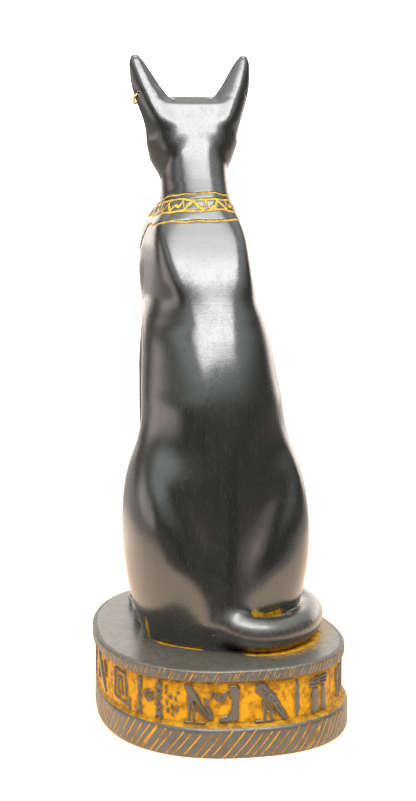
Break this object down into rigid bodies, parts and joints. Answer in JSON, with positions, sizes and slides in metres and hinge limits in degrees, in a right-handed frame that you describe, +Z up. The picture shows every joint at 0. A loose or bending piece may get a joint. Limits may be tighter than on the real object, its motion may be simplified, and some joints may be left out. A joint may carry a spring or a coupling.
{
  "type": "bastet cat figure",
  "caption": "Seated Egyptian-style cat with tall ears, collar and curled tail, cast in one with an oval plinth with a band of raised figures; a small ring hangs in one ear.",
  "frame": {"origin": "middle of the plinth's underside on the surface that it stands on", "axes": "+Z up through the figure, -Y the way that the cat looks, +X the cat's own left"},
  "size_m": [0.1121, 0.1678, 0.3],
  "materials": {
    "black_composite": "polished black resin composite with fine brushed scratches, gold paint rubbed into its carved grooves and recesses",
    "gilt_metal": "polished gilt wire"
  },
  "bodies": {
    "root": {"cat_figure": "black_composite", "ear_ring": "gilt_metal"}
  },
  "joints": []
}
